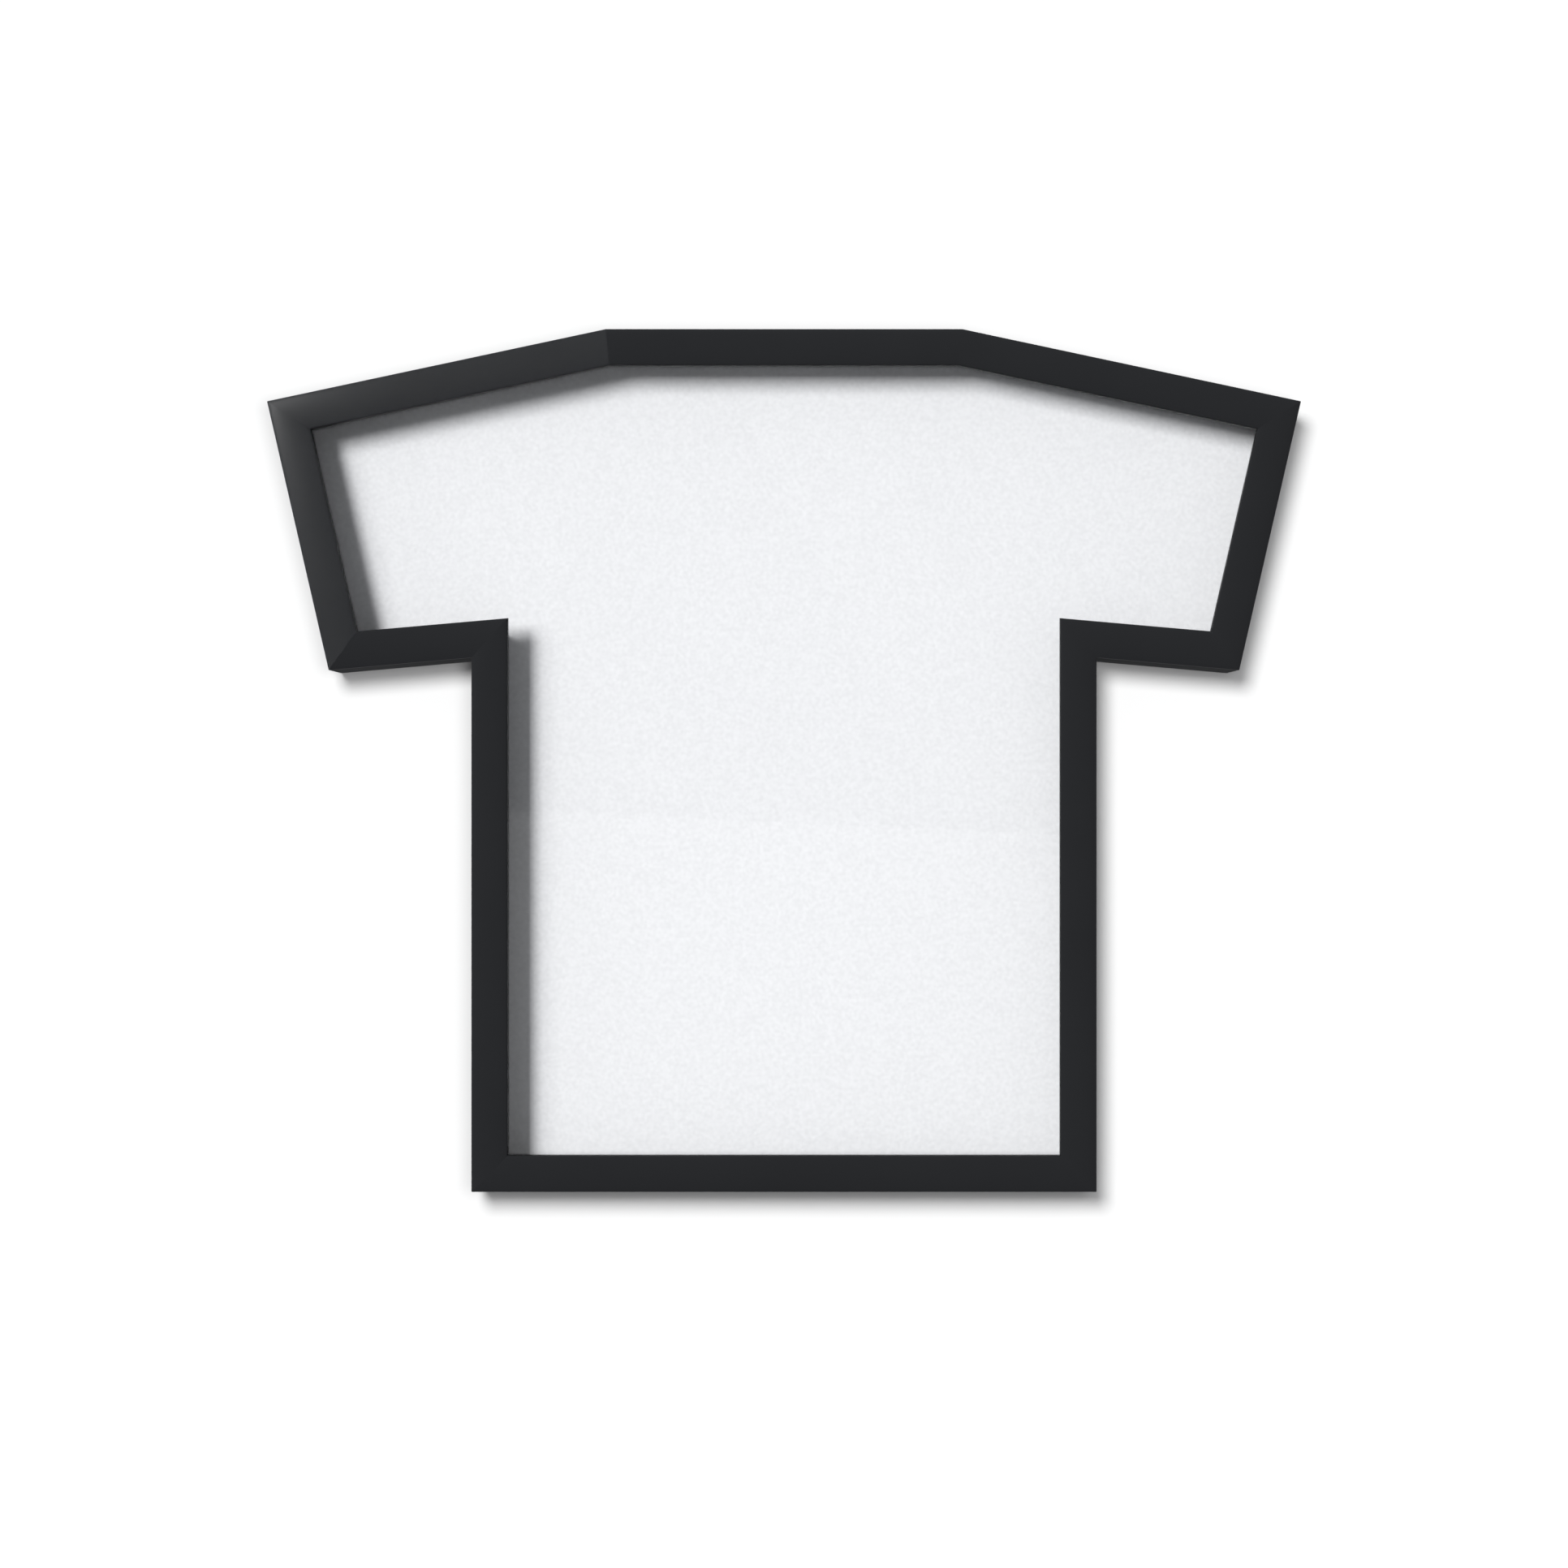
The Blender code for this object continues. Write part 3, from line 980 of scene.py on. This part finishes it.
def button_turn(node, pivot):
    """How far a turn button is turned from pointing down, from where its node's middle lies."""
    low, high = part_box(node)
    towards = (low + high) / 2 - pivot
    return math.atan2(-towards.x, -towards.z)


def turn_button(pivot):
    """A teardrop plate about the origin, pointing down, with a screw hole and a finger dimple."""
    low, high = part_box("turn_button_hem_left")
    narrowing = 0.7
    hole_radius = 1.6 * MM
    big = (high.x - low.x) / 2
    small = narrowing * big
    reach = high.z - pivot.z - small
    thick = high.y - low.y
    button = disc("turn_button_pattern", big, thick, 72)
    with editing(button):
        # The lower half of the disc is drawn down into the narrow end
        pick(button, "VERT", lambda vertex: vertex.co.z < -(big - small) / reach * big)
        grow((narrowing, 1.0, narrowing), (0.0, 0.0, 0.0))
        move((0.0, 0.0, -reach))
        pick(button, "EDGE", lambda edge: edge.calc_face_angle(0.0) > math.radians(60.0))
        bevel(0.25 * MM, 3)
    hole = disc("hole", hole_radius, thick + 2 * MM, 40, (0.0, -MM, 0.0))
    combine(button, hole, "DIFFERENCE")
    combine(button, dimple(Vector((0.0, thick, -reach))), "UNION")
    smooth(button, 40.0)
    return button


def dimple(centre):
    """A low round swelling that a fingertip pushes against."""
    deselect_everything()
    radius = 3.0 * MM
    swelling = 0.7 * MM
    bedded = 0.3 * MM
    bpy.ops.mesh.primitive_uv_sphere_add(
        segments=32,
        ring_count=16,
        radius=radius,
        location=centre + Vector((0.0, swelling - radius, 0.0)),
    )
    ball = apply_place(bpy.context.object)
    with editing(ball):
        cut_off(centre - Vector((0.0, bedded, 0.0)), (0.0, -1.0, 0.0))
    return ball


class JERSEY_OT_button_screws(bpy.types.Operator):
    """Model the screws that the turn buttons turn on"""

    bl_idname = "jersey.button_screws"
    bl_label = "Button screws"

    def execute(self, context):
        material = zinc_plate()
        for index, name in enumerate(BUTTONS):
            node = f"button_screw_{name}"
            screw = pan_screw(node)
            low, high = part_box(node)
            # Each was driven home at a different turn
            turn = 0.7 * index
            put(screw, ((low.x + high.x) / 2, 0.0, (low.z + high.z) / 2), turn)
            smooth(screw, 35.0)
            finish_piece(screw, material, FIXED_BODY, "zinc_steel", node)
        return {"FINISHED"}


def pan_screw(node):
    """A pan-head screw along Y about the origin, with a cross recess."""
    low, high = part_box(node)
    head_radius = (high.x - low.x) / 2
    head_height = 1.5 * MM
    shank = 1.3 * MM
    screw = disc("screw", head_radius, head_height, 40, (0.0, high.y - head_height, 0.0))
    with editing(screw):
        pick(screw, "EDGE", rim_of(high.y))
        bevel(0.85 * head_height, 6)
        draw_shank(screw, head_radius, shank, high.y - head_height, low.y, 2.6, 0.12)
    arm = 0.55 * head_radius
    half_width = 0.35 * MM
    sunk = 0.9 * MM
    for turn in (0.0, 90.0):
        slot = block(
            "recess",
            (-arm, high.y - sunk, -half_width),
            (arm, high.y + MM, half_width),
        )
        with editing(slot):
            pick(slot, "FACE", faces_along((0, -1, 0)))
            grow((0.5, 1.0, 0.7), (0.0, 0.0, 0.0))
        put(slot, (0.0, 0.0, 0.0), math.radians(turn))
        combine(screw, slot, "DIFFERENCE")
    return screw


def draw_shank(obj, radius, shank, head_front, tip, taper, point):
    """Draw a shank forward out of a head, three of its radii short of the tip, then its point."""
    pick(obj, "FACE", faces_along((0, -1, 0)))
    bpy.ops.mesh.inset(thickness=radius - shank)
    extrude((0.0, tip - head_front + 3.0 * shank, 0.0))
    extrude((0.0, -taper * shank, 0.0))
    grow((point, 1.0, point), (0.0, 0.0, 0.0))


class JERSEY_OT_hangers(bpy.types.Operator):
    """Model the sawtooth hangers and their tacks"""

    bl_idname = "jersey.hangers"
    bl_label = "Hangers"

    def execute(self, context):
        material = zinc_plate()
        for side in SIDES:
            node = f"sawtooth_hanger_{side}"
            hanger = copy_of_node(node, f"hanger_{side}")
            apply_modifier(
                hanger,
                "BEVEL",
                width=0.15 * MM,
                segments=2,
                limit_method="ANGLE",
                angle_limit=math.radians(35.0),
            )
            smooth(hanger, 35.0)
            finish_piece(hanger, material, FIXED_BODY, "zinc_steel", node)
        for name in TACKS:
            node = f"hanger_tack_{name}"
            tack = round_tack(node)
            finish_piece(tack, material, FIXED_BODY, "zinc_steel", node)
        return {"FINISHED"}


def round_tack(node):
    """A tack with a low domed head."""
    low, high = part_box(node)
    centre = (low + high) / 2
    radius = (high.x - low.x) / 2
    head = 0.7 * MM
    shank = 0.7 * MM
    tack = disc(node.replace("hanger_tack", "tack"), radius, head, 32, (0.0, high.y - head, 0.0))
    with editing(tack):
        pick(tack, "EDGE", rim_of(high.y))
        bevel(0.8 * head, 5)
        draw_shank(tack, radius, shank, high.y - head, low.y, 3.0, 0.1)
    put(tack, (centre.x, 0.0, centre.z))
    smooth(tack, 35.0)
    return tack


class JERSEY_OT_wall_pads(bpy.types.Operator):
    """Model the pads that stand against the wall"""

    bl_idname = "jersey.wall_pads"
    bl_label = "Wall pads"

    def execute(self, context):
        material = dark_rubber()
        for name in PADS:
            node = f"wall_pad_{name}"
            low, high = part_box(node)
            centre = (low + high) / 2
            radius = (high.x - low.x) / 2
            pad = disc(f"pad_{name}", radius, high.y - low.y, 48, (centre.x, low.y, centre.z))
            with editing(pad):
                pick(pad, "FACE", faces_along((0, 1, 0)))
                grow((0.84, 1.0, 0.84), centre)
                pick(pad, "EDGE", rim_of(high.y, 0.5))
                bevel(0.9 * MM, 6)
            smooth(pad, 40.0)
            finish_piece(pad, material, FIXED_BODY, "pad_rubber", node)
        return {"FINISHED"}


# ---------------------------------------------------------------- stage


class JERSEY_OT_stage(bpy.types.Operator):
    """Set up the wall, the lights and the camera"""

    bl_idname = "jersey.stage"
    bl_label = "Stage"

    def execute(self, context):
        scene = context.scene
        stage = scene.jersey_stage
        scene.view_settings.view_transform = "Standard"
        wall = make_wall()
        make_room(scene, stage.room)
        target = Vector((0.0, CAD_BOX[0].y, (CAD_BOX[0].z + CAD_BOX[1].z) / 2))
        # Degrees to the left and up, then degrees across and high
        lamps = (
            far_softbox("key_softbox", target, (29.8, 15.0), (14.6, 24.0), stage.key),
            far_softbox("wing_softbox", target, (43.5, 15.0), (13.0, 24.0), stage.wing),
        )
        for lamp in lamps:
            lamp.visible_glossy = False
            # The panel casts no shadow, so light that also came through it would count twice
            lamp.visible_transmission = False
            link_light(lamp, "EXCLUDE", wall)
        light_wall(wall, stage)
        light_corner(stage.corner_glow)
        light_panel(stage.reflections)
        make_camera(scene, stage)
        return {"FINISHED"}


def make_wall():
    """A white wall, seen only from its front, that holds back no light."""
    deselect_everything()
    bpy.ops.mesh.primitive_plane_add(
        size=12.0, location=(0.0, 0.0, 0.0), rotation=(math.radians(90.0), 0.0, 0.0)
    )
    wall = bpy.context.object
    wall.name = "wall"
    apply_place(wall)
    material, tree, shader = new_material("white_wall")
    shader.inputs["Base Color"].default_value = (WALL_TONE, WALL_TONE, WALL_TONE, 1.0)
    shader.inputs["Roughness"].default_value = 0.9
    shader.inputs["Specular IOR Level"].default_value = 0.0
    clear = add_node(tree, "ShaderNodeBsdfTransparent")
    back = add_node(tree, "ShaderNodeNewGeometry").outputs["Backfacing"]
    mix = add_node(
        tree, "ShaderNodeMixShader", {0: back, 1: shader.outputs["BSDF"], 2: clear.outputs["BSDF"]}
    )
    tree.links.new(mix.outputs["Shader"], tree.nodes["Material Output"].inputs["Surface"])
    wall.data.materials.append(material)
    wall.visible_shadow = False
    wall.visible_diffuse = False
    wall.visible_glossy = False
    return wall


def make_room(scene, strength):
    """White to the camera, and a soft light from all round on everything else."""
    world = bpy.data.worlds.new("room")
    scene.world = world
    world.use_nodes = True
    world.cycles.sampling_method = "NONE"
    tree = world.node_tree
    light = tree.nodes["Background"]
    way = add_node(tree, "ShaderNodeTexCoord").outputs["Generated"]
    # A little brighter from the upper left, and from behind a bright ring round a dark middle:
    # it lights the back, and leaves dark what the sides of the rails mirror beside the wall
    lean = add_node(
        tree, "ShaderNodeVectorMath", {0: way, 1: (-0.15, 0.0, 0.3)}, operation="DOT_PRODUCT"
    )
    depth = add_node(tree, "ShaderNodeSeparateXYZ", {"Vector": way}).outputs["Y"]
    ring = add_node(tree, "ShaderNodeValToRGB", {"Fac": depth})
    levels = ((0.0, 0.25), (0.05, 0.5), (0.3, 1.0), (0.6, 1.0), (0.85, 0.06))
    stops = ring.color_ramp.elements
    while len(stops) < len(levels):
        stops.new(0.5)
    for stop, (position, level) in zip(stops, levels):
        stop.position = position
        stop.color = (level, level, level, 1.0)
    rear = add_node(tree, "ShaderNodeMath", {0: ring.outputs["Color"], 1: 4.0}, operation="MULTIPLY")
    sides = add_node(
        tree, "ShaderNodeMath", {0: lean.outputs["Value"], 1: rear.outputs["Value"]}, operation="ADD"
    )
    power = add_node(
        tree, "ShaderNodeMath", {0: sides.outputs["Value"], 1: strength}, operation="MULTIPLY"
    )
    tree.links.new(power.outputs["Value"], light.inputs["Strength"])
    light.inputs["Color"].default_value = linear("#F5F6FA")
    seen = add_node(tree, "ShaderNodeBackground", {"Color": linear("#FFFFFF"), "Strength": 1.0})
    camera = add_node(tree, "ShaderNodeLightPath").outputs["Is Camera Ray"]
    mix = add_node(
        tree,
        "ShaderNodeMixShader",
        {0: camera, 1: light.outputs["Background"], 2: seen.outputs["Background"]},
    )
    tree.links.new(mix.outputs["Shader"], tree.nodes["World Output"].inputs["Surface"])


def from_left_and_above(left, up):
    """Unit vector towards a lamp that stands so many degrees to the left and above the front."""
    left, up = math.radians(left), math.radians(up)
    return Vector((-math.sin(left) * math.cos(up), -math.cos(left) * math.cos(up), math.sin(up)))


def new_lamp(name, kind, location, towards):
    """A lamp that shines against a direction."""
    data = bpy.data.lights.new(name, kind)
    lamp = bpy.data.objects.new(name, data)
    bpy.context.scene.collection.objects.link(lamp)
    lamp.location = location
    lamp.rotation_euler = towards.to_track_quat("Z", "Y").to_euler()
    lamp.visible_camera = False
    return lamp


def far_softbox(name, target, angles, spread, brightness):
    """A rectangular lamp far away, sized in degrees, that lifts a white surface to a brightness."""
    towards = from_left_and_above(*angles)
    lamp = new_lamp(name, "AREA", target + towards * SOFTBOX_DISTANCE, towards)
    lamp.data.shape = "RECTANGLE"
    lamp.data.size = 2.0 * SOFTBOX_DISTANCE * math.tan(math.radians(spread[0] / 2))
    lamp.data.size_y = 2.0 * SOFTBOX_DISTANCE * math.tan(math.radians(spread[1] / 2))
    lamp.data.energy = brightness * (math.pi * SOFTBOX_DISTANCE) ** 2 / -towards.y
    return lamp


def light_wall(wall, stage):
    """Whiten the wall from two lamps near the camera, the strong one up and to the left."""
    middle = Vector((0.0, 0.0, CAD_BOX[0].z + stage.height))
    # Place from the camera's axis on the wall, radius, and share of the wall's light
    for name, place, radius, share in (
        ("wall_lamp", (-0.43, -1.95, 0.62), 0.355, 0.72),
        ("wall_fill", (0.17, -1.42, 0.03), 0.27, 0.24),
    ):
        place = Vector(place)
        lamp = new_lamp(name, "POINT", middle + place, place)
        lamp.data.shadow_soft_size = radius
        lamp.data.energy = share * stage.wall / WALL_TONE * 4.0 * math.pi**2 / -place.y
        # Strength grows with the cube of the distance, so that every part of the wall is as bright
        lamp.data.use_nodes = True
        tree = lamp.data.node_tree
        falloff = add_node(tree, "ShaderNodeLightFalloff", {"Strength": 1.0}).outputs
        cube = add_node(
            tree, "ShaderNodeMath", {0: falloff["Constant"], 1: falloff["Linear"]}, operation="MULTIPLY"
        )
        tree.links.new(cube.outputs["Value"], tree.nodes["Emission"].inputs["Strength"])
        link_light(lamp, "INCLUDE", wall)


def light_corner(power):
    """A small lamp off the upper left corner, seen only as a sheen on the lacquer."""
    corner = Vector((CAD_BOX[0].x, CAD_BOX[0].y, OUTLINE[-1].y))
    towards = Vector((-0.58, -0.72, 0.38)).normalized()
    away = 0.5
    lamp = new_lamp("corner_lamp", "AREA", corner + away * towards, towards)
    lamp.data.shape = "DISK"
    lamp.data.size = 0.1
    lamp.data.energy = power
    lamp.visible_diffuse = False
    rails = [bpy.data.objects[f"rail_{name}"] for name in ("left_cuff", "left_shoulder")]
    link_light(lamp, "INCLUDE", *rails)


def light_panel(brightness):
    """Faint reflections in the clear panel: a pale floor, and streaks of window light above it."""
    away = 6.0
    floor_edge = -0.46
    cards = (
        # Name, middle across and up, size, turn and brightness
        ("floor_card", (0.0, floor_edge - 3.0), (16.0, 6.0), -2.5, 1.0),
        ("window_left", (-1.25, 1.05), (0.3, 3.2), 27.0, 0.25),
        ("window_middle", (0.1, 1.05), (0.42, 3.2), 27.0, 0.25),
    )
    for name, middle, size, turn, share in cards:
        place = Vector((middle[0], -away, middle[1]))
        lamp = new_lamp(name, "AREA", place, Vector((0.0, -1.0, 0.0)))
        lamp.rotation_euler.rotate_axis("Z", math.radians(turn))
        lamp.data.shape = "RECTANGLE"
        lamp.data.size, lamp.data.size_y = size
        lamp.data.energy = brightness * share * math.pi * size[0] * size[1]
        lamp.visible_diffuse = False
        lamp.visible_transmission = False
        link_light(lamp, "INCLUDE", frame["nodes"]["front_panel"])


def link_light(lamp, state, *objects):
    """Let a lamp light everything but some objects, or those objects alone."""
    receivers = bpy.data.collections.new(f"{lamp.name}_receivers")
    for obj in objects:
        receivers.objects.link(obj)
    lamp.light_linking.receiver_collection = receivers
    for linked in receivers.collection_objects:
        linked.light_linking.link_state = state


def make_camera(scene, stage):
    """A level camera square to the frame."""
    data = bpy.data.cameras.new("camera")
    data.lens = stage.lens
    camera = bpy.data.objects.new("camera", data)
    scene.collection.objects.link(camera)
    low = CAD_BOX[0]
    camera.location = (0.0, low.y - stage.distance, low.z + stage.height)
    camera.rotation_euler = (math.radians(90.0), 0.0, 0.0)
    scene.camera = camera


# ---------------------------------------------------------------- panel and running

PIECE_OPERATORS = (
    JERSEY_OT_rails,
    JERSEY_OT_corner_nails,
    JERSEY_OT_front_panel,
    JERSEY_OT_spacers,
    JERSEY_OT_boards,
    JERSEY_OT_turn_buttons,
    JERSEY_OT_button_screws,
    JERSEY_OT_hangers,
    JERSEY_OT_wall_pads,
    JERSEY_OT_stage,
)


class JERSEY_PT_panel(bpy.types.Panel):
    """Lists the settings and the operators in the order in which they are run"""

    bl_idname = "JERSEY_PT_panel"
    bl_label = "Jersey Frame"
    bl_space_type = "VIEW_3D"
    bl_region_type = "UI"
    bl_category = "Jersey Frame"

    def draw(self, context):
        layout = self.layout
        for settings in (
            context.scene.jersey_colours,
            context.scene.jersey_rails,
            context.scene.jersey_stage,
        ):
            box = layout.box()
            for name in settings.__annotations__:
                box.prop(settings, name)
        for operator in PIECE_OPERATORS:
            layout.operator(operator.bl_idname)


CLASSES = (JerseyColours, JerseyRails, JerseyStage, *PIECE_OPERATORS, JERSEY_PT_panel)


def register():
    for cls in CLASSES:
        bpy.utils.register_class(cls)
    bpy.types.Scene.jersey_colours = PointerProperty(type=JerseyColours)
    bpy.types.Scene.jersey_rails = PointerProperty(type=JerseyRails)
    bpy.types.Scene.jersey_stage = PointerProperty(type=JerseyStage)


def unregister():
    del bpy.types.Scene.jersey_stage
    del bpy.types.Scene.jersey_rails
    del bpy.types.Scene.jersey_colours
    for cls in reversed(CLASSES):
        bpy.utils.unregister_class(cls)


def main():
    register()
    bpy.ops.jersey.rails()
    bpy.ops.jersey.corner_nails()
    bpy.ops.jersey.front_panel()
    bpy.ops.jersey.spacers()
    bpy.ops.jersey.boards()
    bpy.ops.jersey.turn_buttons()
    bpy.ops.jersey.button_screws()
    bpy.ops.jersey.hangers()
    bpy.ops.jersey.wall_pads()
    bpy.ops.jersey.stage()


if __name__ == "__main__":
    main()
